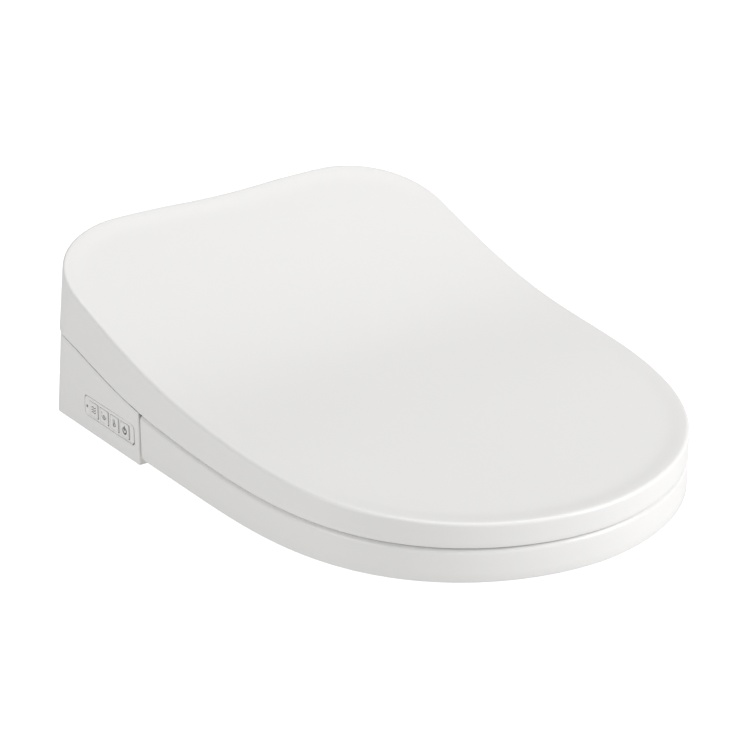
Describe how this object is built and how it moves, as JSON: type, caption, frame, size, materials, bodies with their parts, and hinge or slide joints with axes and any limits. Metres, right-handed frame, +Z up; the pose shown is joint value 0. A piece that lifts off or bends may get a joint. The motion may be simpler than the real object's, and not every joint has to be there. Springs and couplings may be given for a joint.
{
  "type": "electric bidet seat",
  "caption": "Electric bidet toilet seat: D-shaped lid that sweeps up to a flush rear housing, thick heated seat, side key panel, sliding wash nozzle and warm-air dryer.",
  "frame": {"origin": "middle of the underside of the bounding box", "axes": "+X towards the left hand of someone who faces the seat from its front, -Y to the front tip, +Y to the wall, +Z up"},
  "size_m": [0.38, 0.526, 0.1448],
  "materials": {
    "shell_white": "satin-gloss white polypropylene",
    "panel_white": "satin white with dark printed icons",
    "inner_white": "matte white moulding",
    "grey_plastic": "matte grey moulding",
    "dark_plastic": "matte black moulding",
    "bumper_rubber": "soft pale grey rubber",
    "steel": "stainless steel",
    "brass": "machined brass",
    "heater_foil": "foil on a plastic film",
    "board_green": "solder-masked board",
    "led_lens": "smoked clear lens"
  },
  "bodies": {
    "housing": {"housing_base": "shell_white", "housing_cover": "shell_white", "control_bezel": "panel_white", "mounting_bracket": "inner_white", "water_heater": "inner_white", "fan_scroll": "inner_white", "dryer_duct": "inner_white", "hose_valve_to_heater": "inner_white", "hose_heater_to_diverter": "inner_white", "nozzle_cradle": "grey_plastic", "diverter_valve": "grey_plastic", "seat_damper_right": "grey_plastic", "seat_damper_left": "grey_plastic", "lid_damper_right": "grey_plastic", "lid_damper_left": "grey_plastic", "nozzle_motor": "dark_plastic", "fan_motor": "dark_plastic", "power_supply": "dark_plastic", "solenoid_valve": "dark_plastic", "cord_gland": "dark_plastic", "base_screw_front_right": "steel", "base_screw_front_left": "steel", "base_screw_rear_right": "steel", "base_screw_rear_left": "steel", "seat_hinge_pin_right": "steel", "seat_hinge_pin_left": "steel", "heater_grid": "steel", "water_inlet": "brass", "panel_board": "board_green", "main_board": "board_green", "status_led_lens": "led_lens"},
    "seat": {"seat_top": "shell_white", "seat_base": "inner_white", "seat_heater": "heater_foil", "seat_bumper_front_right": "bumper_rubber", "seat_bumper_front_left": "bumper_rubber", "seat_bumper_rear_right": "bumper_rubber", "seat_bumper_rear_left": "bumper_rubber"},
    "lid_link": {"lid_hinge_shaft_right": "steel", "lid_hinge_shaft_left": "steel"},
    "lid": {"lid_shell": "shell_white", "lid_bumper_right": "bumper_rubber", "lid_bumper_left": "bumper_rubber"},
    "wand": {"nozzle_wand": "inner_white", "nozzle_tip": "inner_white"},
    "pinion": {"nozzle_pinion": "inner_white"},
    "impeller": {"fan_impeller": "grey_plastic"},
    "release": {"release_button": "panel_white"},
    "power_key": {"button_power": "panel_white"},
    "nozzle_key": {"button_nozzle": "panel_white"},
    "wash_key": {"button_wash": "panel_white"},
    "dry_key": {"button_dry": "panel_white"}
  },
  "joints": [
    {"name": "seat_hinge", "type": "hinge", "parent": "housing", "child": "seat", "pos_m": [0, 0.117, 0.058], "axis": [1, 0, 0], "range_deg": [-95, 0]},
    {"name": "lid_follow", "type": "hinge", "parent": "housing", "child": "lid_link", "pos_m": [0, 0.221, 0.084], "axis": [1, 0, 0], "range_deg": [-95, 0]},
    {"name": "lid_hinge", "type": "hinge", "parent": "lid_link", "child": "lid", "pos_m": [0, 0.221, 0.084], "axis": [-1, 0, 0], "range_deg": [0, 95]},
    {"name": "nozzle_slide", "type": "slide", "parent": "housing", "child": "wand", "axis": [0, -0.9272, -0.3746], "range_m": [0, 0.075]},
    {"name": "pinion_spin", "type": "hinge", "parent": "housing", "child": "pinion", "pos_m": [0, 0.13404, 0.05328], "axis": [1, 0, 0], "range_deg": [-575, 0]},
    {"name": "fan_spin", "type": "hinge", "parent": "housing", "child": "impeller", "pos_m": [0.058, 0.177, 0.0245], "axis": [0, 0, 1], "continuous": true},
    {"name": "release_press", "type": "slide", "parent": "housing", "child": "release", "axis": [-1, 0, 0], "range_m": [0, 0.0025], "stiffness_N_per_m": 1200, "springref_m": -0.001},
    {"name": "power_press", "type": "slide", "parent": "housing", "child": "power_key", "axis": [1, 0, 0], "range_m": [0, 0.0008], "stiffness_N_per_m": 1000, "springref_m": -0.0005},
    {"name": "nozzle_press", "type": "slide", "parent": "housing", "child": "nozzle_key", "axis": [1, 0, 0], "range_m": [0, 0.0008], "stiffness_N_per_m": 1000, "springref_m": -0.0005},
    {"name": "wash_press", "type": "slide", "parent": "housing", "child": "wash_key", "axis": [1, 0, 0], "range_m": [0, 0.0008], "stiffness_N_per_m": 1000, "springref_m": -0.0005},
    {"name": "dry_press", "type": "slide", "parent": "housing", "child": "dry_key", "axis": [1, 0, 0], "range_m": [0, 0.0008], "stiffness_N_per_m": 1000, "springref_m": -0.0005}
  ],
  "couplings": [
    {"joint": "lid_follow", "follows": "seat_hinge", "ratio": 1},
    {"joint": "pinion_spin", "follows": "nozzle_slide", "rad_per_m": -133.33}
  ]
}
